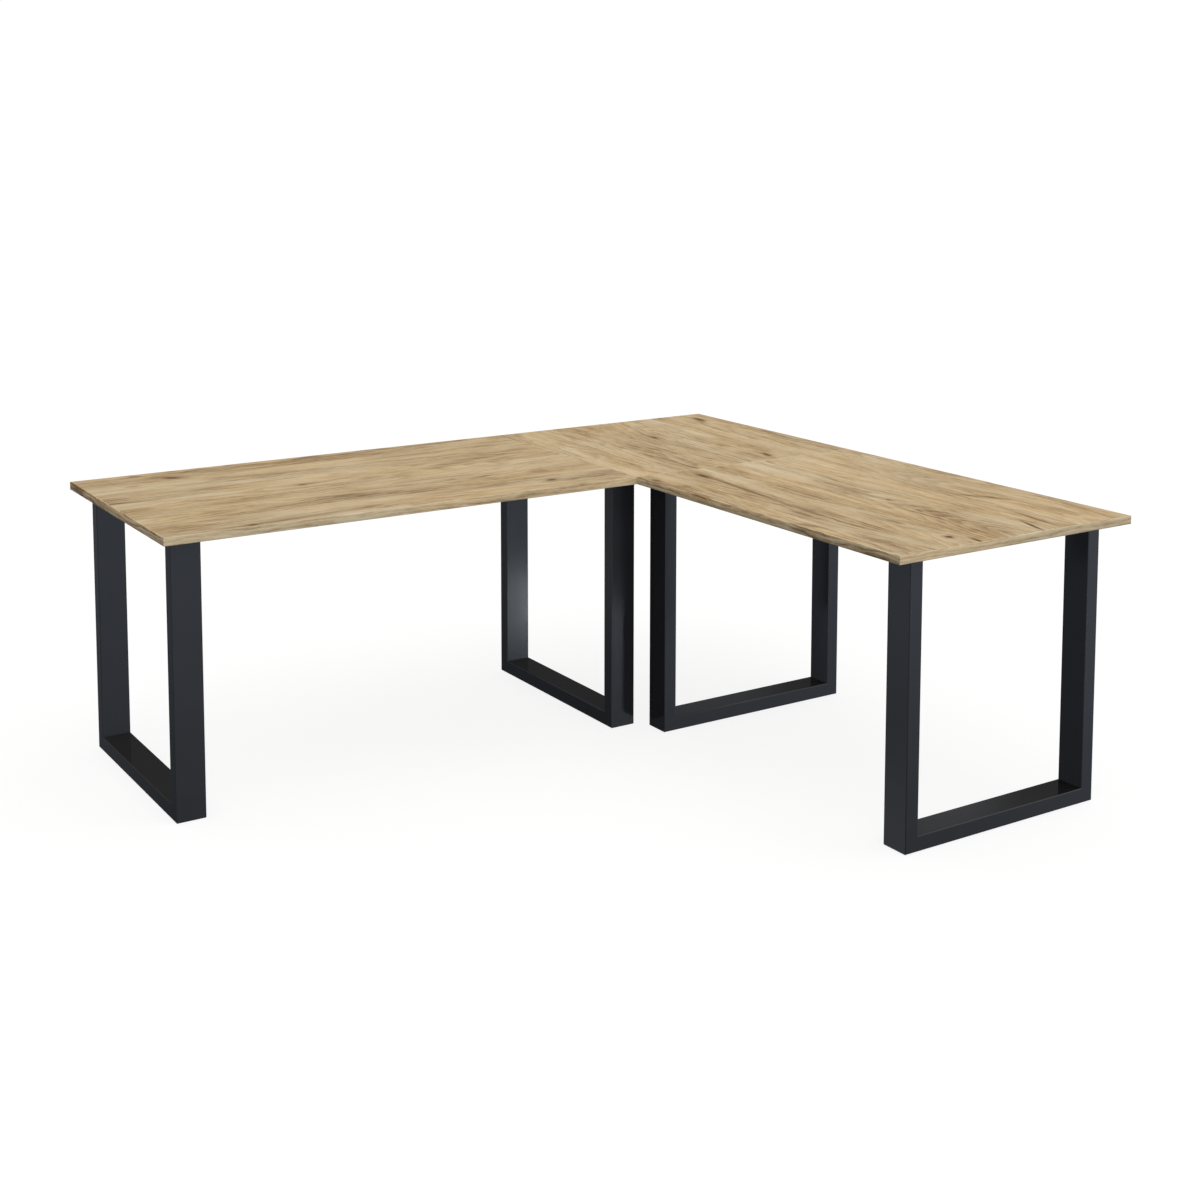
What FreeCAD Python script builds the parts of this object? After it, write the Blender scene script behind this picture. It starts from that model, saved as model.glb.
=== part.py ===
import FreeCAD, Part
import math
import os

# Corner desk: an L of three boards on four loop-shaped steel legs.
# Millimetres, +Z up. Origin on the floor, under the middle of the rectangle that encloses the L.
# +X runs along the long side of the L, +Y towards the two outer (wall) sides' back edge.

# ---- driving dimensions -------------------------------------------------------------------
OVERALL_X = 2200.0          # long side of the L
OVERALL_Y = 1900.0          # short side of the L
HEIGHT = 762.0              # floor to work surface
DEPTH = 800.0               # depth of every board
BOARD_T = 22.0              # board thickness
BAND_T = 2.0                # edge strip thickness
BAND_R = 1.0                # rounded arris of the edge strips

TUBE_W = 80.0               # tube face across the leg's plane
TUBE_H = 40.0               # tube face in the leg's plane
TUBE_WALL = 2.0
TUBE_R = 2.5                # outer corner radius of the tube
LEG_LEN = 655.0             # outside length of a leg loop
LEG_INSET = 40.0            # outer legs: from the end of the board to the tube
PLATE_T = 5.0               # flat mounting plate on top of a leg
GLIDE_T = 2.0               # floor glide thickness
GLIDE_L = 60.0
GLIDE_W = 30.0
GLIDE_R = 6.0
GLIDE_INSET = 18.0          # from the end of the floor bar

SCREW_D = 5.0               # wood screw shank
SCREW_LEN = 20.0            # from under the head to the tip
SCREW_TIP = 5.0             # tapered end
HEAD_D = 9.6
HEAD_H = 3.0
HEAD_R = 1.6
PLATE_HOLE_D = 6.0
SCREW_ROWS = (-22.0, 22.0)                 # across the plate
SCREW_STEPS = (-240.0, -80.0, 80.0, 240.0)  # along the plate

DOWEL_D = 8.0
DOWEL_LEN = 40.0
DOWEL_HOLE_D = 8.2
DOWEL_HOLE_DEPTH = 21.0     # into each board from the joint
DOWEL_STEPS = (-320.0, 0.0, 320.0)

# ---- derived positions --------------------------------------------------------------------
X0, X1 = -OVERALL_X / 2, OVERALL_X / 2
Y0, Y1 = -OVERALL_Y / 2, OVERALL_Y / 2
JOINT_X = X1 - DEPTH        # joint between the left and the corner board
JOINT_Y = Y1 - DEPTH        # joint between the corner and the right board
Z_TOP = HEIGHT
Z_BOARD = HEIGHT - BOARD_T  # underside of the boards
Z_PLATE = Z_BOARD - PLATE_T
LEG_OFF = (DEPTH - LEG_LEN) / 2  # legs stand in the middle of the boards' depth

PARTS = "parts"
os.makedirs(PARTS, exist_ok=True)


def V(x, y, z):
    return FreeCAD.Vector(x, y, z)


def box(x0, x1, y0, y1, z0, z1):
    return Part.makeBox(x1 - x0, y1 - y0, z1 - z0, V(x0, y0, z0))


def save(name, shape):
    shape = shape.removeSplitter() if len(shape.Solids) == 1 else shape
    assert shape.isValid(), name
    shape.exportStep(os.path.join(PARTS, name + ".step"))
    print(name, len(shape.Solids), round(shape.Volume / 1000.0, 2), "cm3")


def picked(shape, test):
    """Edges whose two end points both pass the test."""
    return [e for e in shape.Edges if all(test(v.Point) for v in e.Vertexes) and len(e.Vertexes) == 2]


# ---- fasteners, made once at the origin ---------------------------------------------------
def wood_screw():
    """Pan-head wood screw pointing up: underside of the head at z = 0."""
    r = SCREW_D / 2
    shank = Part.makeCylinder(r, SCREW_LEN - SCREW_TIP, V(0, 0, -0.5))
    tip = Part.makeCone(r, 0.6, SCREW_TIP, V(0, 0, SCREW_LEN - SCREW_TIP - 0.5))
    head = Part.makeCylinder(HEAD_D / 2, HEAD_H, V(0, 0, -HEAD_H))
    rim = [e for e in head.Edges if e.BoundBox.ZMax < -HEAD_H + 0.01 and len(e.Vertexes) == 1]
    head = head.makeFillet(HEAD_R, rim)
    arm = 2.4
    cross = box(-arm, arm, -0.45, 0.45, -HEAD_H - 1, -HEAD_H + 1.9)
    cross = cross.fuse(box(-0.45, 0.45, -arm, arm, -HEAD_H - 1, -HEAD_H + 1.9))
    return head.cut(cross).fuse(shank.fuse(tip)).removeSplitter()


SCREW = wood_screw()


def dowel():
    """Fluted-end wooden dowel along X, centred on the origin, with chamfered ends."""
    d = Part.makeCylinder(DOWEL_D / 2, DOWEL_LEN, V(-DOWEL_LEN / 2, 0, 0), V(1, 0, 0))
    return d.makeChamfer(0.8, [e for e in d.Edges if len(e.Vertexes) == 1])


DOWEL = dowel()


# ---- legs ---------------------------------------------------------------------------------
# A leg is made in its own frame: the loop's plane is XZ, its middle at x = 0, y = 0.
def tube_section(length):
    """Rectangular tube along +Z from z = 0, TUBE_H along X and TUBE_W along Y, from x = 0."""
    outer = box(0, TUBE_H, -TUBE_W / 2, TUBE_W / 2, 0, length)
    outer = outer.makeFillet(TUBE_R, [e for e in outer.Edges if abs(e.BoundBox.ZLength - length) < 1e-6])
    t = TUBE_WALL
    inner = box(t, TUBE_H - t, -TUBE_W / 2 + t, TUBE_W / 2 - t, -1, length + 1)
    inner = inner.makeFillet(max(TUBE_R - t, 0.5), [e for e in inner.Edges if abs(e.BoundBox.ZLength - length - 2) < 1e-6])
    return outer.cut(inner)


def wedge(points):
    """A prism wide enough to cut the whole tube, over a polygon in XZ."""
    wire = Part.makePolygon([V(x, -TUBE_W, z) for x, z in points] + [V(points[0][0], -TUBE_W, points[0][1])])
    return Part.Face(wire).extrude(V(0, 2 * TUBE_W, 0))


def leg_pieces():
    half = LEG_LEN / 2
    z0 = GLIDE_T
    # post at -x, cut at 45 degrees at the floor: its outer face is the longer one
    post = tube_section(Z_PLATE - z0)
    post.translate(V(-half, 0, z0))
    post = post.cut(wedge([(-half - 1, z0 - 1), (-half + TUBE_H + 1, z0 - 1), (-half + TUBE_H + 1, z0 + TUBE_H + 1)]))
    other = post.mirror(V(0, 0, 0), V(1, 0, 0))
    # floor bar, cut at 45 degrees at both ends
    bar = tube_section(LEG_LEN)
    bar.rotate(V(0, 0, 0), V(0, 1, 0), 90)       # now along +X, height from z = -TUBE_H to 0
    bar.translate(V(-half, 0, z0 + TUBE_H))
    bar = bar.cut(wedge([(-half - 1, z0 - 1), (-half + TUBE_H + 1, z0 + TUBE_H + 1), (-half - 1, z0 + TUBE_H + 1)]))
    bar = bar.cut(wedge([(half + 1, z0 - 1), (half - TUBE_H - 1, z0 + TUBE_H + 1), (half + 1, z0 + TUBE_H + 1)]))
    # flat plate on the posts' ends
    plate = box(-half, half, -TUBE_W / 2, TUBE_W / 2, Z_PLATE, Z_BOARD)
    plate = plate.makeFillet(TUBE_R, [e for e in plate.Edges if abs(e.BoundBox.ZLength - PLATE_T) < 1e-6])
    screws = []
    for x in SCREW_STEPS:
        for y in SCREW_ROWS:
            plate = plate.cut(Part.makeCylinder(PLATE_HOLE_D / 2, PLATE_T + 2, V(x, y, Z_PLATE - 1)))
            s = SCREW.copy()
            s.translate(V(x, y, Z_PLATE))
            screws.append(s)
    glides = []
    for side in (-1, 1):
        c = side * (half - GLIDE_INSET - GLIDE_W / 2)
        g = box(c - GLIDE_W / 2, c + GLIDE_W / 2, -GLIDE_L / 2, GLIDE_L / 2, 0, GLIDE_T)
        g = g.makeFillet(GLIDE_R, [e for e in g.Edges if abs(e.BoundBox.ZLength - GLIDE_T) < 1e-6])
        g = g.makeChamfer(0.6, [e for e in g.Edges if e.BoundBox.ZMax < 0.01])
        glides.append(g)
    return {
        "post_a": post,
        "post_b": other,
        "floor_bar": bar,
        "mounting_plate": plate,
        "screws": Part.makeCompound(screws),
        "glides": Part.makeCompound(glides),
    }


def placed(shape, x, y, turned):
    s = shape.copy()
    if turned:  # loop's plane turned to YZ, the post at -x goes to -y
        s.rotate(V(0, 0, 0), V(0, 0, 1), 90)
    s.translate(V(x, y, 0))
    return s


MID_X = X1 - DEPTH / 2      # middle of the corner and right boards
MID_Y = Y1 - DEPTH / 2      # middle of the left board
LEGS = {
    # name: (x, y, turned, name of the post at -x / -y, name of the other)
    "left_outer_leg": (X0 + LEG_INSET + TUBE_W / 2, MID_Y, True, "front_post", "back_post"),
    "left_inner_leg": (JOINT_X, MID_Y, True, "front_post", "back_post"),
    "right_inner_leg": (MID_X, JOINT_Y, False, "left_post", "right_post"),
    "right_outer_leg": (MID_X, Y0 + LEG_INSET + TUBE_W / 2, False, "left_post", "right_post"),
}

screw_holes = []
pieces = leg_pieces()
for name, (x, y, turned, post_a, post_b) in LEGS.items():
    names = {"post_a": post_a, "post_b": post_b}
    for key, shape in pieces.items():
        save(name + "_" + names.get(key, key), placed(shape, x, y, turned))
    for along in SCREW_STEPS:
        for across in SCREW_ROWS:
            hx, hy = (x - across, y + along) if turned else (x + along, y + across)
            screw_holes.append((hx, hy))


# ---- boards and their edge strips ---------------------------------------------------------
def dowel_holes():
    """Holes across both joints, and the dowels in them."""
    zc = HEIGHT - BOARD_T / 2
    holes, left, right = [], [], []
    for s in DOWEL_STEPS:
        y = MID_Y + s
        holes.append(Part.makeCylinder(DOWEL_HOLE_D / 2, 2 * DOWEL_HOLE_DEPTH, V(JOINT_X - DOWEL_HOLE_DEPTH, y, zc), V(1, 0, 0)))
        d = DOWEL.copy()
        d.translate(V(JOINT_X, y, zc))
        left.append(d)
        x = MID_X + s
        holes.append(Part.makeCylinder(DOWEL_HOLE_D / 2, 2 * DOWEL_HOLE_DEPTH, V(x, JOINT_Y - DOWEL_HOLE_DEPTH, zc), V(0, 1, 0)))
        d = DOWEL.copy()
        d.rotate(V(0, 0, 0), V(0, 0, 1), 90)
        d.translate(V(x, JOINT_Y, zc))
        right.append(d)
    return holes, left, right


HOLES, LEFT_DOWELS, RIGHT_DOWELS = dowel_holes()
save("left_joint_dowels", Part.makeCompound(LEFT_DOWELS))
save("right_joint_dowels", Part.makeCompound(RIGHT_DOWELS))

BOARDS = {
    "left_board": (X0, JOINT_X, JOINT_Y, Y1),
    "corner_board": (JOINT_X, X1, JOINT_Y, Y1),
    "right_board": (JOINT_X, X1, Y0, JOINT_Y),
}


def drilled(shape):
    near = [h for h in HOLES if h.BoundBox.intersect(shape.BoundBox)]
    for h in near:
        shape = shape.cut(h)
    return shape


for name, (bx0, bx1, by0, by1) in BOARDS.items():
    t = BAND_T
    core = box(bx0 + t, bx1 - t, by0 + t, by1 - t, Z_BOARD, Z_TOP)
    core = drilled(core)
    for hx, hy in screw_holes:
        if bx0 < hx < bx1 and by0 < hy < by1:
            core = core.cut(Part.makeCylinder(SCREW_D / 2 + 0.05, SCREW_LEN - PLATE_T + 0.5, V(hx, hy, Z_BOARD)))
    save(name, core)
    # strips: the long pair runs the full length, the short pair fits between them
    strips = {
        "front": (bx0, bx1, by0, by0 + t, lambda p: abs(p.y - by0) < 1e-6),
        "back": (bx0, bx1, by1 - t, by1, lambda p: abs(p.y - by1) < 1e-6),
        "left": (bx0, bx0 + t, by0 + t, by1 - t, lambda p: abs(p.x - bx0) < 1e-6),
        "right": (bx1 - t, bx1, by0 + t, by1 - t, lambda p: abs(p.x - bx1) < 1e-6),
    }
    for side, (sx0, sx1, sy0, sy1, outside) in strips.items():
        s = box(sx0, sx1, sy0, sy1, Z_BOARD, Z_TOP)
        long_edges = [
            e for e in picked(s, outside)
            if abs(e.BoundBox.ZLength) < 1e-6
        ]
        s = s.makeFillet(BAND_R, long_edges)
        s = drilled(s)
        save(name + "_" + side + "_edge", s)
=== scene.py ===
import math

import bpy
import bmesh
from mathutils import Matrix, Vector

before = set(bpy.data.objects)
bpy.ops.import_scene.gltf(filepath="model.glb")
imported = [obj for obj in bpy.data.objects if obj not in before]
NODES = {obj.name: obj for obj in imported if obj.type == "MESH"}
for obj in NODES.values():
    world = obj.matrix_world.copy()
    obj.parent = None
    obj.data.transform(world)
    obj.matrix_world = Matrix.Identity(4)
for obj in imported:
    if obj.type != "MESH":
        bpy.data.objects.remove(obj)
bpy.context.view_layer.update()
scene = bpy.context.scene
scene.view_settings.view_transform = "Standard"
scene.view_settings.look = "None"
scene.view_settings.exposure = 0.0
scene.view_settings.gamma = 1.0

# ------------------------------------------------------------------ camera
# Eye position in metres, heading turned from +Y towards +X, pitch below the horizon.
EYE = Vector((-2.467, -3.934, 1.766))
HEADING, PITCH = 32.31, 5.71
LENS_PX, SHIFT_X, SHIFT_Y = 1740.0, 0.0141, -0.25      # focal length in pixels of a 1200-pixel frame

cam_data = bpy.data.cameras.new("camera")
cam_data.sensor_fit = "HORIZONTAL"
cam_data.sensor_width = 36.0
cam_data.lens = LENS_PX / 1200.0 * 36.0
cam_data.shift_x, cam_data.shift_y = SHIFT_X, SHIFT_Y
cam_data.clip_start, cam_data.clip_end = 0.1, 200.0
cam = bpy.data.objects.new("camera", cam_data)
scene.collection.objects.link(cam)
h, p = math.radians(HEADING), math.radians(PITCH)
look = Vector((math.sin(h) * math.cos(p), math.cos(h) * math.cos(p), -math.sin(p)))
cam.location = EYE
cam.rotation_mode = "QUATERNION"
cam.rotation_quaternion = look.to_track_quat("-Z", "Y")
scene.camera = cam


# ------------------------------------------------------------------ node graphs written as expressions
class S:
    """A socket with arithmetic."""

    def __init__(self, g, sock):
        self.g, self.sock = g, sock

    def _m(self, op, *args, clamp=False):
        return self.g.math(op, self, *args, clamp=clamp)

    def __add__(self, o): return self._m("ADD", o)
    __radd__ = __add__
    def __sub__(self, o): return self._m("SUBTRACT", o)
    def __rsub__(self, o): return self.g.math("SUBTRACT", o, self)
    def __mul__(self, o): return self._m("MULTIPLY", o)
    __rmul__ = __mul__
    def __truediv__(self, o): return self._m("DIVIDE", o)
    def __neg__(self): return self._m("MULTIPLY", -1.0)
    def pow(self, o): return self._m("POWER", o)
    def sin(self): return self._m("SINE")
    def sqrt(self): return self._m("SQRT")
    def abs(self): return self._m("ABSOLUTE")
    def fract(self): return self._m("FRACT")
    def max(self, o): return self._m("MAXIMUM", o)
    def min(self, o): return self._m("MINIMUM", o)
    def step(self, edge): return self._m("GREATER_THAN", edge)
    def clamp(self): return self._m("ADD", 0.0, clamp=True)


class G:
    """Builds one shader node tree."""

    def __init__(self, tree):
        self.t = tree
        self.count = 0

    def node(self, kind, **props):
        n = self.t.nodes.new(kind)
        n.location = (-220 * (self.count // 8), -160 * (self.count % 8))
        self.count += 1
        for k, v in props.items():
            setattr(n, k, v)
        return n

    def put(self, socket, value):
        if isinstance(value, S):
            self.t.links.new(value.sock, socket)
        elif value is not None:
            socket.default_value = value

    def math(self, op, *args, clamp=False):
        n = self.node("ShaderNodeMath", operation=op, use_clamp=clamp)
        for i, a in enumerate(args):
            self.put(n.inputs[i], a)
        return S(self, n.outputs[0])

    def smooth(self, x, a, b, lo=0.0, hi=1.0):
        n = self.node("ShaderNodeMapRange", interpolation_type="SMOOTHSTEP")
        for i, v in enumerate((x, a, b, lo, hi)):
            self.put(n.inputs[i], v)
        return S(self, n.outputs[0])

    def linear(self, x, a, b, lo=0.0, hi=1.0):
        n = self.node("ShaderNodeMapRange")
        for i, v in enumerate((x, a, b, lo, hi)):
            self.put(n.inputs[i], v)
        return S(self, n.outputs[0])

    def vec(self, x, y, z):
        n = self.node("ShaderNodeCombineXYZ")
        for i, v in enumerate((x, y, z)):
            self.put(n.inputs[i], v)
        return S(self, n.outputs[0])

    def split(self, v):
        n = self.node("ShaderNodeSeparateXYZ")
        self.put(n.inputs[0], v)
        return [S(self, o) for o in n.outputs]

    def vmath(self, op, *args, out=0):
        n = self.node("ShaderNodeVectorMath", operation=op)
        for i, a in enumerate(args):
            self.put(n.inputs[i], a)
        return S(self, n.outputs[out])

    def length(self, v):
        return self.vmath("LENGTH", v, out=1)

    def object_coords(self):
        return S(self, self.node("ShaderNodeTexCoord").outputs["Object"])

    def noise(self, v, scale=1.0, detail=2.0, rough=0.5, distort=0.0, colour=False):
        n = self.node("ShaderNodeTexNoise", noise_dimensions="3D")
        n.inputs["Scale"].default_value = scale
        n.inputs["Detail"].default_value = detail
        n.inputs["Roughness"].default_value = rough
        n.inputs["Distortion"].default_value = distort
        self.put(n.inputs["Vector"], v)
        return S(self, n.outputs["Color" if colour else "Fac"])

    def white(self, w):
        n = self.node("ShaderNodeTexWhiteNoise", noise_dimensions="1D")
        self.put(n.inputs["W"], w)
        return S(self, n.outputs["Value"])

    def local(self, v, place, turn, size):
        """v in the frame of an ellipse at place, turned by turn degrees, with half sizes size."""
        n = self.node("ShaderNodeMapping", vector_type="TEXTURE")
        n.inputs["Location"].default_value = (place[0], place[1], 0)
        n.inputs["Rotation"].default_value = (0, 0, math.radians(turn))
        n.inputs["Scale"].default_value = (size[0], size[1], 1)
        self.put(n.inputs["Vector"], v)
        return S(self, n.outputs[0])

    def mix(self, fac, a, b, blend="MIX"):
        n = self.node("ShaderNodeMix", data_type="RGBA", blend_type=blend)
        self.put(n.inputs[0], fac)
        for i, c in ((6, a), (7, b)):
            if isinstance(c, S):
                self.put(n.inputs[i], c)
            else:
                n.inputs[i].default_value = (*c, 1.0)
        return S(self, n.outputs[2])

    def ramp(self, fac, stops):
        n = self.node("ShaderNodeValToRGB")
        e = n.color_ramp.elements
        while len(e) < len(stops):
            e.new(0.5)
        for el, (pos, c) in zip(e, stops):
            el.position, el.color = pos, (*c, 1.0)
        self.put(n.inputs[0], fac)
        return S(self, n.outputs[0])

    def bump(self, height, distance, strength=1.0):
        n = self.node("ShaderNodeBump")
        n.inputs["Distance"].default_value = distance
        n.inputs["Strength"].default_value = strength
        self.put(n.inputs["Height"], height)
        return S(self, n.outputs[0])

    def surface(self, colour, rough, normal=None, **fixed):
        bsdf = self.node("ShaderNodeBsdfPrincipled")
        self.put(bsdf.inputs["Base Color"], colour)
        self.put(bsdf.inputs["Roughness"], rough)
        self.put(bsdf.inputs["Normal"], normal)
        for k, v in fixed.items():
            bsdf.inputs[k].default_value = v
        out = self.node("ShaderNodeOutputMaterial")
        self.t.links.new(bsdf.outputs[0], out.inputs[0])


def srgb(r, g, b):
    def lin(v):
        v /= 255.0
        return v / 12.92 if v <= 0.04045 else ((v + 0.055) / 1.055) ** 2.4
    return (lin(r), lin(g), lin(b))


def material(name):
    m = bpy.data.materials.new(name)
    m.use_nodes = True
    m.node_tree.nodes.clear()
    return m, G(m.node_tree)


# ------------------------------------------------------------------ oak decor
def oak(g, u, v, seed, joints, marks, tone=0.0, depth_of_figure=1.0):
    """Oak: u runs along the grain and v across it, in metres. joints are the plank edges in v.
    marks are (kind, u, v, half length, half width, turn in degrees, strength)."""
    # planks: a step at each joint picks a plank, and each plank gets its own numbers
    plank, centre = seed * 3.7, (joints[0] - 0.07 if joints else 0.0)
    edges = list(joints) + [joints[-1] + 0.14] if joints else []
    joint_line = None
    for i, e in enumerate(joints):
        s = v.step(e)
        plank = s * (1.0 + 0.37 * i) + plank
        centre = s * ((edges[i] + edges[i + 1]) / 2 - (edges[i] - 0.07 if i == 0 else (edges[i - 1] + edges[i]) / 2)) + centre
        line = g.smooth((v - e).abs(), 0.0011, 0.0, 0.0, 1.0)
        joint_line = line if joint_line is None else joint_line.max(line)
    r1 = g.white(plank)
    r2 = g.white(plank + 11.3)
    r3 = g.white(plank + 23.9)

    # the grain wanders, and swings round knots
    rag = g.split(g.noise(g.vec(u * 16.0, v * 70.0, seed), 1.0, 3.0, 0.6, colour=True))
    sway = g.noise(g.vec(u * 1.9, v * 3.2, seed + 5.0), 1.0, 2.0, 0.5)
    wave = g.noise(g.vec(u * 6.5, v * 13.0, seed + 5.5), 1.0, 2.0, 0.5)
    vv = v + (sway - 0.5) * 0.050 + (wave - 0.5) * 0.020
    here = g.vec(u + (rag[0] - 0.5) * 0.022, v + (rag[1] - 0.5) * 0.007, 0.0)
    smooth_here = g.vec(u, v, 0.0)
    dark, halo = None, None
    for kind, mu, mv, a, b, turn, strength in marks:
        a, b = a * 1.1, b * 1.35
        d = g.length(g.local(here, (mu, mv), turn, (a, b)))
        core = g.smooth(d, 1.25, 0.35, 0.0, strength * 1.15)
        dark = core if dark is None else dark.max(core)
        if kind == "knot":
            pull = g.smooth(g.length(g.local(smooth_here, (mu, mv), turn, (a * 4.0, b * 4.0))), 1.0, 0.0, 0.0, 0.75)
            vv = vv - (v - mv) * pull
            glow = g.smooth(g.length(g.local(here, (mu, mv), turn, (a * 3.0, b * 2.6))), 1.0, 0.1, 0.0, strength * 0.75)
        else:
            glow = g.smooth(g.length(g.local(here, (mu, mv), turn, (a * 1.7, b * 2.6))), 1.0, 0.0, 0.0, strength * 0.55)
        halo = glow if halo is None else halo.max(glow)

    # growth rings: the plank is a flat slice through a cone-shaped trunk
    lean = g.noise(g.vec(u * 0.9, r1 * 40.0, seed), 1.0, 1.0, 0.5)
    side = vv - centre + (r2 - 0.5) * 0.10
    depth = lean * 0.13 + r3 * 0.05 + u * 0.03
    radius = (side * side + depth * depth).sqrt()
    jitter = g.noise(g.vec(u * 3.5, vv * 24.0, r1 * 9.0 + seed), 1.0, 4.0, 0.55)
    saw = (radius * 88.0 + jitter * 3.0).fract()
    ring = g.smooth(saw, 0.0, 0.75) * g.smooth(saw, 1.0, 0.86)

    # flames and streaks of several widths, fibre, pores and drying cracks
    broad = g.noise(g.vec(u * 1.3 + r1 * 31.0, vv * 7.5, seed + 1.0), 1.0, 3.0, 0.55)
    flame = g.noise(g.vec(u * 4.0 + r2 * 13.0, vv * 23.0, seed + 1.5), 1.0, 4.0, 0.52, 0.35)
    streak = g.noise(g.vec(u * 3.2 + r2 * 17.0, vv * 85.0, seed + 2.0), 1.0, 4.0, 0.60)
    fibre = g.noise(g.vec(u * 12.0, vv * 330.0, seed + 3.0), 1.0, 4.0, 0.65)
    pore_field = g.noise(g.vec(u * 38.0, vv * 1150.0, seed + 4.0), 1.0, 1.0, 0.4)
    pores = g.smooth(pore_field, 0.62, 0.74) * g.linear(ring, 0.0, 1.0, 1.0, 0.25)
    cloud = g.noise(g.vec(u * 7.0, v * 15.0, seed + 6.0), 1.0, 3.0, 0.6)
    tick = g.noise(g.vec(u * 42.0, vv * 210.0, seed + 6.5), 1.0, 2.0, 0.6)
    where = g.noise(g.vec(u * 2.4, v * 9.0, seed + 9.0), 1.0, 2.0, 0.5)
    vein = g.smooth((g.noise(g.vec(u * 1.3, vv * 15.0, seed + 7.0), 1.0, 3.0, 0.5) - 0.5).abs(), 0.016, 0.0) * g.smooth(where, 0.56, 0.68)

    light = (
        (broad - 0.5) * 1.05
        + (flame - 0.5) * 0.70
        + (streak - 0.5) * 0.55
        + (ring - 0.5) * 0.22
        + (fibre - 0.5) * 0.50
        + (cloud - 0.5) * 0.45
        + (tick - 0.5) * 0.54
        + (r1 - 0.5) * 0.14
    ) * depth_of_figure + (0.5 + tone)
    colour = g.ramp(light, [
        (0.00, srgb(128, 101, 69)),
        (0.20, srgb(158, 131, 95)),
        (0.42, srgb(189, 164, 126)),
        (0.60, srgb(204, 181, 143)),
        (0.80, srgb(214, 193, 157)),
        (1.00, srgb(224, 206, 172)),
    ])
    # the hue drifts between yellow, red-brown and grey
    warm = g.smooth(g.noise(g.vec(u * 2.1 + r3 * 7.0, v * 9.0, seed + 8.0), 1.0, 2.0, 0.5), 0.36, 0.64)
    hue = g.mix(warm, (0.985, 1.0, 1.03), (1.03, 0.99, 0.935))
    colour = g.mix(1.0, colour, hue, "MULTIPLY")
    colour = g.mix(pores * 0.36, colour, srgb(108, 84, 58))
    colour = g.mix(vein * 0.55, colour, srgb(112, 84, 56))
    if halo is not None:
        colour = g.mix(halo, colour, srgb(142, 106, 66))
    if dark is not None:
        colour = g.mix((dark * g.linear(rag[2], 0.25, 0.7, 0.62, 1.15)).clamp(), colour, srgb(88, 62, 38))
    if joint_line is not None:
        colour = g.mix(joint_line * 0.26, colour, srgb(110, 86, 60))

    height = fibre * 0.35 + ring * 0.25 + pores * -0.9 - vein * 0.5
    if dark is not None:
        height = height - dark * 0.5
    rough = g.linear(fibre, 0.2, 0.8, 0.56, 0.66) + pores * 0.12 + (broad - 0.5) * 0.08
    return colour, rough, height


def oak_material(name, along, across, seed, joints, marks, tone=0.0, figure=1.0, bump=0.00022):
    m, g = material(name)
    xyz = dict(zip("XYZ", g.split(g.object_coords())))
    colour, rough, height = oak(g, xyz[along], xyz[across], seed, joints, marks, tone, figure)
    if across == "Z":   # edge strip: painted light and shade, paler towards the upper arris and darker towards the underside, so the edges read nearly as bright as the lit top
        painted_light_and_shade = g.linear(xyz["Z"], 0.740, 0.762, *((0.94, 1.10) if along == "X" else (0.72, 1.28)))
        # painted shade: a darker band along the lowest 3 mm of the strip, under the board's bottom arris
        painted_light_and_shade = painted_light_and_shade * g.smooth(xyz["Z"], 0.7402, 0.7430, 0.78, 1.0)
        colour = g.mix(1.0, colour, g.vec(painted_light_and_shade, painted_light_and_shade, painted_light_and_shade), "MULTIPLY")
    g.surface(colour, rough, g.bump(height, bump, 0.8), **{"Specular IOR Level": 0.26})
    return m


LEFT_MARKS = [
    ("knot", -0.838, 0.850, 0.026, 0.0085, -32, 0.80),
    ("streak", -0.923, 0.922, 0.022, 0.0055, -30, 0.60),
    ("streak", -1.070, 0.643, 0.045, 0.0045, 2, 0.55),
    ("streak", -1.085, 0.596, 0.040, 0.0035, -3, 0.45),
    ("knot", -0.863, 0.166, 0.015, 0.0050, 0, 0.85),
    ("streak", -0.780, 0.172, 0.060, 0.0028, 3, 0.50),
    ("knot", 0.070, 0.246, 0.016, 0.0085, 15, 0.75),
    ("streak", -0.250, 0.196, 0.030, 0.0035, 2, 0.45),
    ("streak", -0.883, 0.358, 0.055, 0.0060, 4, 0.28),
    ("streak", -0.925, 0.270, 0.090, 0.0080, -3, 0.22),
    ("streak", -0.972, 0.789, 0.024, 0.0045, 6, 0.38),
    ("streak", -0.750, 0.180, 0.230, 0.0080, 5, 0.22),
    ("streak", -0.180, 0.800, 0.150, 0.0100, 2, 0.24),
    ("streak", -0.170, 0.262, 0.200, 0.0090, 3, 0.22),
    ("streak", -0.250, 0.440, 0.110, 0.0060, 2, 0.20),
    ("knot", -0.560, 0.560, 0.012, 0.0050, 0, 0.55),
]
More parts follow.
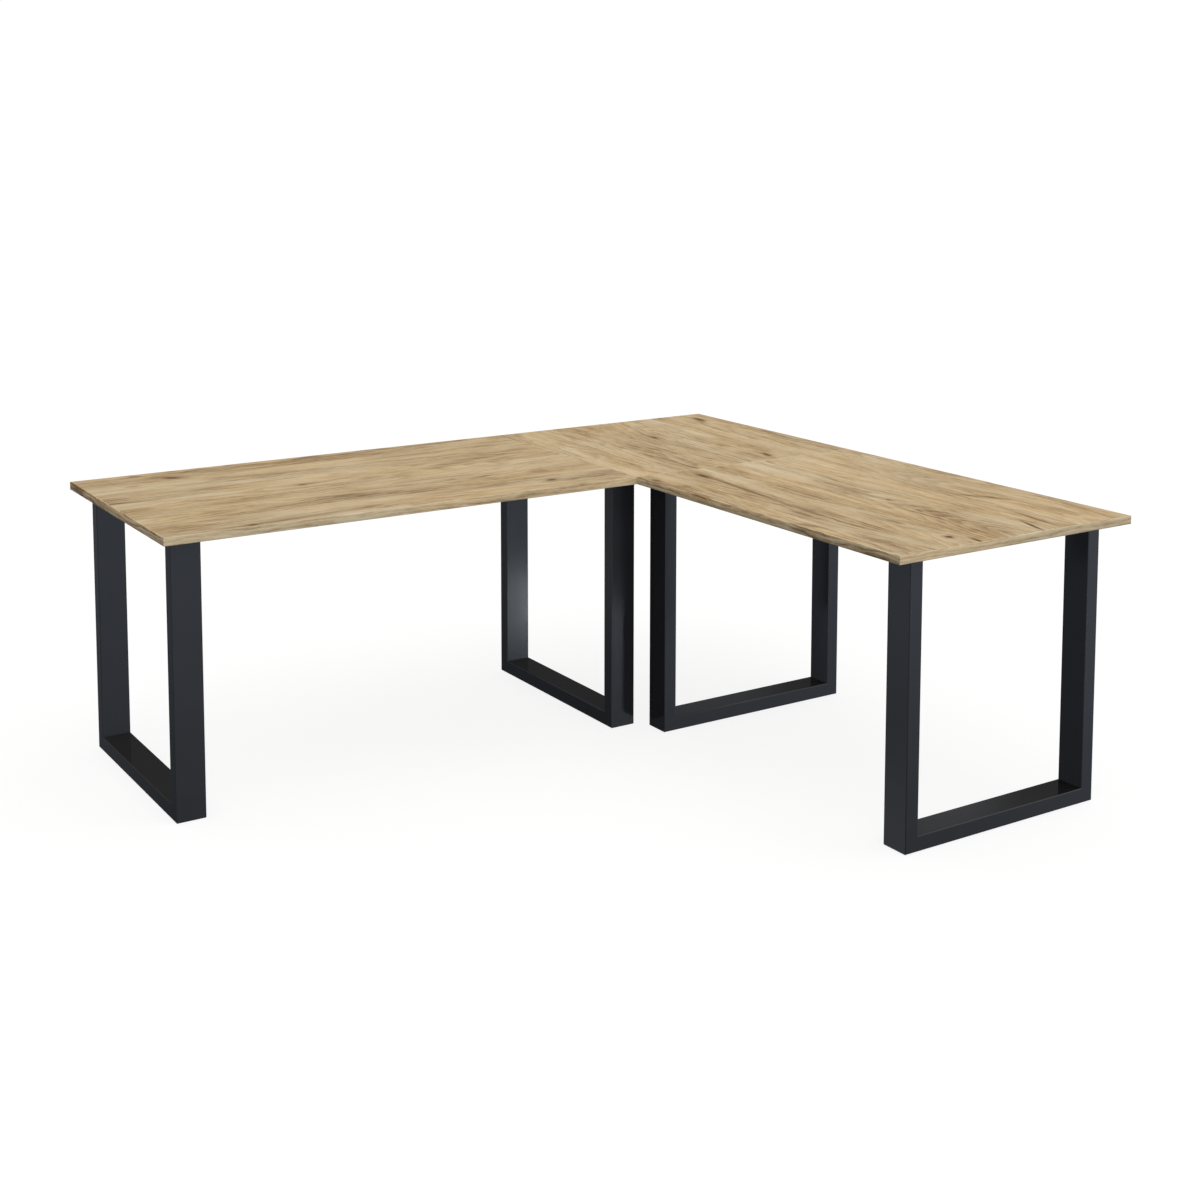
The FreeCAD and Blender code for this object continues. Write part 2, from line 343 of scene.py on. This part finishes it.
RIGHT_MARKS = [  # along Y, across X
    ("knot", 0.058, 0.468, 0.030, 0.0080, 4, 0.80),
    ("streak", -0.170, 0.452, 0.240, 0.0050, 5, 0.55),
    ("streak", -0.445, 0.432, 0.070, 0.0080, 5, 0.30),
    ("knot", -0.868, 0.535, 0.0095, 0.0072, 0, 0.95),
    ("streak", -0.545, 0.924, 0.040, 0.0036, -27, 0.72),
    ("streak", -0.612, 0.962, 0.044, 0.0038, -23, 0.66),
    ("streak", -0.580, 0.953, 0.026, 0.0026, -38, 0.50),
    ("streak", -0.578, 0.942, 0.080, 0.0130, -27, 0.24),
    ("streak", -0.890, 0.800, 0.060, 0.0042, 17, 0.85),
    ("streak", -0.845, 0.862, 0.100, 0.0036, 9, 0.62),
    ("streak", -0.928, 0.569, 0.030, 0.0040, 8, 0.70),
    ("streak", -0.655, 0.657, 0.090, 0.0026, -1, 0.62),
    ("streak", -0.588, 0.322, 0.040, 0.0090, -20, 0.42),
    ("streak", -0.382, 0.424, 0.045, 0.0080, -20, 0.28),
    ("streak", 0.076, 0.316, 0.020, 0.0080, 0, 0.55),
    ("streak", -0.695, 0.457, 0.060, 0.0030, 0, 0.28),
    ("streak", 0.120, 0.760, 0.030, 0.0050, 10, 0.36),
    ("streak", -0.300, 0.700, 0.160, 0.0060, 2, 0.22),
    ("knot", -0.470, 0.700, 0.010, 0.0045, 0, 0.50),
    ("streak", -0.200, 0.955, 0.300, 0.0480, 1, 0.085),
]
CORNER_MARKS = [
    ("knot", 0.222, 0.828, 0.034, 0.0080, 18, 0.66),
    ("streak", 0.850, 1.030, 0.045, 0.0100, 8, 0.70),
    ("streak", 0.195, 0.518, 0.050, 0.0036, -3, 0.66),
    ("streak", 0.340, 0.519, 0.100, 0.0040, -3, 0.40),
    ("streak", 0.800, 0.480, 0.080, 0.0060, 4, 0.35),
    ("knot", 0.640, 0.700, 0.014, 0.0060, 0, 0.60),
    ("streak", 0.560, 0.900, 0.120, 0.0080, 4, 0.28),
    ("streak", 0.300, 0.390, 0.060, 0.0050, 2, 0.30),
]
OAK_LEFT = oak_material("oak_left", "X", "Y", 1.0, (0.292, 0.431, 0.585, 0.715, 0.846), LEFT_MARKS, 0.03)
OAK_RIGHT = oak_material("oak_right", "Y", "X", 7.0, (0.463, 0.602, 0.760, 0.905, 1.010), RIGHT_MARKS, 0.05)
OAK_CORNER = oak_material("oak_corner", "Y", "X", 4.0, (0.420, 0.520, 0.668, 0.815, 0.960), CORNER_MARKS, 0.0)
# painted light: the edge strips use a paler oak than the tops (tone 0.27 and 0.11), so their vertical faces read nearly
# as bright as the lit top
OAK_EDGE_X = oak_material("oak_edge_x", "X", "Z", 12.0, (), [], 0.27, 1.25)
OAK_EDGE_Y = oak_material("oak_edge_y", "Y", "Z", 15.0, (), [("streak", -0.58, 0.750, 0.030, 0.004, 0, 0.4)], 0.11, 1.6)


# ------------------------------------------------------------------ powder-coated steel
def steel_material():
    m, g = material("black_powder_coat")
    p = g.object_coords()
    peel = g.noise(p, 420.0, 2.0, 0.5)
    wave = g.noise(p, 26.0, 2.0, 0.5)
    smudge = g.noise(p, 5.0, 4.0, 0.6)
    dust = g.noise(p, 900.0, 1.0, 0.5)
    colour = g.mix(g.smooth(smudge, 0.35, 0.7) * 0.5, srgb(38, 37, 39), srgb(42, 42, 45))
    colour = g.mix(g.smooth(dust, 0.70, 0.80) * 0.10, colour, srgb(70, 70, 72))
    rough = g.linear(smudge, 0.3, 0.75, 0.090, 0.130) + (peel - 0.5) * 0.02
    g.surface(colour, rough, g.bump(peel * 0.35 + wave * 0.65, 0.00010, 0.35), **{"IOR": 1.5})
    return m


STEEL = steel_material()


def zinc_material():
    m, g = material("zinc_plate")
    p = g.object_coords()
    n = g.noise(p, 700.0, 3.0, 0.6)
    spangle = g.noise(p, 160.0, 2.0, 0.5)
    colour = g.mix(g.smooth(spangle, 0.35, 0.65), srgb(168, 172, 178), srgb(196, 198, 200))
    g.surface(colour, g.linear(n, 0.3, 0.7, 0.26, 0.42), g.bump(n, 0.00003, 0.4), Metallic=1.0)
    return m


def plastic_material():
    m, g = material("glide_plastic")
    p = g.object_coords()
    n = g.noise(p, 1500.0, 2.0, 0.5)
    s = g.noise(p, 60.0, 3.0, 0.6)
    colour = g.mix(g.smooth(s, 0.4, 0.7) * 0.5, srgb(30, 30, 31), srgb(44, 44, 45))
    g.surface(colour, g.linear(n, 0.3, 0.7, 0.50, 0.62), g.bump(n, 0.00005, 0.5))
    return m


def beech_material():
    m, g = material("beech")
    x, y, z = g.split(g.object_coords())
    fibre = g.noise(g.vec(x * 260.0, y * 260.0, z * 900.0), 1.0, 3.0, 0.6)
    colour = g.mix(g.smooth(fibre, 0.3, 0.7), srgb(198, 160, 120), srgb(218, 184, 146))
    g.surface(colour, g.linear(fibre, 0.3, 0.7, 0.60, 0.72), g.bump(fibre, 0.0001, 0.5))
    return m


ZINC, PLASTIC, BEECH = zinc_material(), plastic_material(), beech_material()


def finish_for(name):
    if name.endswith("_dowels"):
        return BEECH
    if name.endswith("_screws"):
        return ZINC
    if name.endswith("_glides"):
        return PLASTIC
    if name.endswith(("_front_edge", "_back_edge")):
        return OAK_EDGE_X
    if name.endswith(("_left_edge", "_right_edge")):
        return OAK_EDGE_Y
    if name == "left_board":
        return OAK_LEFT
    if name == "corner_board":
        return OAK_CORNER
    if name == "right_board":
        return OAK_RIGHT
    return STEEL


for name, o in NODES.items():
    m = finish_for(name)
    if not o.material_slots:
        o.data.materials.append(m)
    for slot in o.material_slots:
        slot.material = m
    if name.endswith("_floor_bar"):     # the low bars would cut dark lines across the sheen on the other posts
        o.visible_glossy = False


# ------------------------------------------------------------------ studio: a pale floor that curves up into a wall
def studio():
    flat, bend, wall = 15.0, 7.0, 10.0
    profile = [(flat * i / 12, 0.0) for i in range(13)]
    profile += [(flat + bend * math.sin(t), bend - bend * math.cos(t)) for t in [math.pi / 2 * i / 16 for i in range(1, 17)]]
    profile += [(flat + bend, bend + wall * i / 4) for i in range(1, 5)]
    bm = bmesh.new()
    steps = 96
    rings = []
    for r, z in profile:
        if r == 0:
            rings.append([bm.verts.new((0, 0, z))])
        else:
            rings.append([bm.verts.new((r * math.cos(2 * math.pi * k / steps), r * math.sin(2 * math.pi * k / steps), z)) for k in range(steps)])
    for a, b in zip(rings, rings[1:]):
        for k in range(steps):
            k2 = (k + 1) % steps
            if len(a) == 1:
                bm.faces.new((a[0], b[k], b[k2]))
            else:
                bm.faces.new((a[k], b[k], b[k2], a[k2]))
    for f in bm.faces:
        f.smooth = True
    mesh = bpy.data.meshes.new("studio_floor")
    bm.to_mesh(mesh)
    bm.free()
    o = bpy.data.objects.new("studio_floor", mesh)
    o.location.z = -0.0003
    scene.collection.objects.link(o)
    m, g = material("studio_floor")
    n = g.noise(g.object_coords(), 1.3, 2.0, 0.5)
    tone = g.mix(n, (0.955, 0.955, 0.955), (0.965, 0.965, 0.965))
    diff = g.node("ShaderNodeBsdfDiffuse")
    g.put(diff.inputs["Color"], tone)
    glow = g.node("ShaderNodeEmission")
    g.put(glow.inputs["Color"], tone)
    height = g.split(g.object_coords())[2]
    g.put(glow.inputs["Strength"], g.smooth(height, 0.3, 5.0, 1.13, 1.04))
    mixer = g.node("ShaderNodeMixShader")
    g.put(mixer.inputs[0], g.smooth(height, 0.0, 4.0, 0.78, 1.0))
    g.t.links.new(diff.outputs[0], mixer.inputs[1])
    g.t.links.new(glow.outputs[0], mixer.inputs[2])
    out = g.node("ShaderNodeOutputMaterial")
    g.t.links.new(mixer.outputs[0], out.inputs[0])
    mesh.materials.append(m)
    o.visible_glossy = False
    o.visible_diffuse = False
    o.visible_transmission = False
    return o


studio()


# ------------------------------------------------------------------ light
def sky():
    """Studio light by direction: bright in front (-Y), dim behind and low on the -X side."""
    world = bpy.data.worlds.new("studio_light")
    world.use_nodes = True
    world.node_tree.nodes.clear()
    g = G(world.node_tree)
    d = S(g, g.node("ShaderNodeTexCoord").outputs["Generated"])
    x, y, z = g.split(g.vmath("NORMALIZE", d))
    turn = g.math("ARCTAN2", x, -y) * (1.0 / (2 * math.pi)) + 0.5     # 0.5 is -Y, 0.75 is +X, 0.25 is -X

    def grey(v):
        return (v, v, v)

    level = g.ramp(g.linear(z, -1.0, 1.0), [
        (0.00, (0.17, 0.18, 0.20)),
        (0.20, (0.21, 0.23, 0.26)),
        (0.31, (0.30, 0.34, 0.40)),
        (0.38, (0.62, 0.70, 0.82)),
        (0.50, (0.94, 1.00, 1.08)),
        (0.66, (1.22, 1.23, 1.24)),
        (0.82, (1.08, 1.07, 1.05)),
        (1.00, (0.90, 0.89, 0.87)),
    ])
    around = g.ramp(turn, [(p, grey(v)) for p, v in [
        (0.000, 0.06), (0.036, 0.24), (0.072, 0.17), (0.098, 0.20), (0.111, 0.18), (0.1165, 0.76), (0.1240, 0.76), (0.131, 0.28),
        (0.180, 0.26), (0.270, 0.36), (0.370, 0.80), (0.450, 1.00), (0.650, 1.00), (0.760, 0.52), (0.850, 0.08), (1.000, 0.06),
    ]])
    # below the horizon the far side gets some fill too
    fill = g.ramp(turn, [(p, grey(v)) for p, v in [(0.000, 0.40), (0.036, 0.0), (0.760, 0.0), (0.850, 0.55), (1.000, 0.40)]])
    around = g.mix(g.smooth(z, 0.10, -0.06), around, g.mix(1.0, around, fill, "ADD"))
    overhead = g.smooth(z, 0.32, 0.92)
    around = g.mix(overhead, around, grey(1.0))
    colour = g.mix(1.0, level, around, "MULTIPLY")
    # small soft lights: (heading from +Y towards +X, elevation, inner and outer half angle, radiance)
    unit = g.vmath("NORMALIZE", d)
    for heading, rise, inner, outer, power in [
        (180.0 - 30.9, -15.7, 0.2, 0.8, (17.0, 17.8, 18.6)),     # glint on the back post of the left inner leg
        (-33.3, -13.5, 1.0, 4.0, (0.26, 0.275, 0.30)),          # lift high on the front post of the left inner leg
        (-43.0, -24.0, 1.0, 5.0, (0.46, 0.49, 0.54)),           # lift low on the front post of the right outer leg
        (44.1, 20.7, 0.4, 2.8, (0.31, 0.32, 0.34)),            # soft sheen on the right outer floor bar
        (36.4, 18.0, 0.5, 3.0, (0.19, 0.20, 0.22)),            # and on the right inner one
    ]:
        hh, rr = math.radians(heading), math.radians(rise)
        aim = (math.sin(hh) * math.cos(rr), math.cos(hh) * math.cos(rr), math.sin(rr))
        near = g.vmath("DOT_PRODUCT", unit, aim, out=1)
        colour = g.mix(g.smooth(near, math.cos(math.radians(outer)), math.cos(math.radians(inner))), colour, power)
    bg = g.node("ShaderNodeBackground")
    g.put(bg.inputs["Color"], colour)
    bg.inputs["Strength"].default_value = 1.0
    out = g.node("ShaderNodeOutputWorld")
    g.t.links.new(bg.outputs[0], out.inputs[0])
    scene.world = world


def lamp(name, place, target, size, power, colour=(1, 1, 1)):
    data = bpy.data.lights.new(name, "AREA")
    data.shape = "RECTANGLE"
    data.size, data.size_y = size
    data.energy, data.color = power, colour
    o = bpy.data.objects.new(name, data)
    o.location = place
    o.rotation_mode = "QUATERNION"
    o.rotation_quaternion = (Vector(target) - Vector(place)).to_track_quat("-Z", "Y")
    scene.collection.objects.link(o)
    return o


sky()
lamp("overhead_softbox", (0.9, -0.6, 4.6), (0.1, 0.2, 0.6), (3.6, 3.0), 28.0, (1.0, 0.99, 0.97))
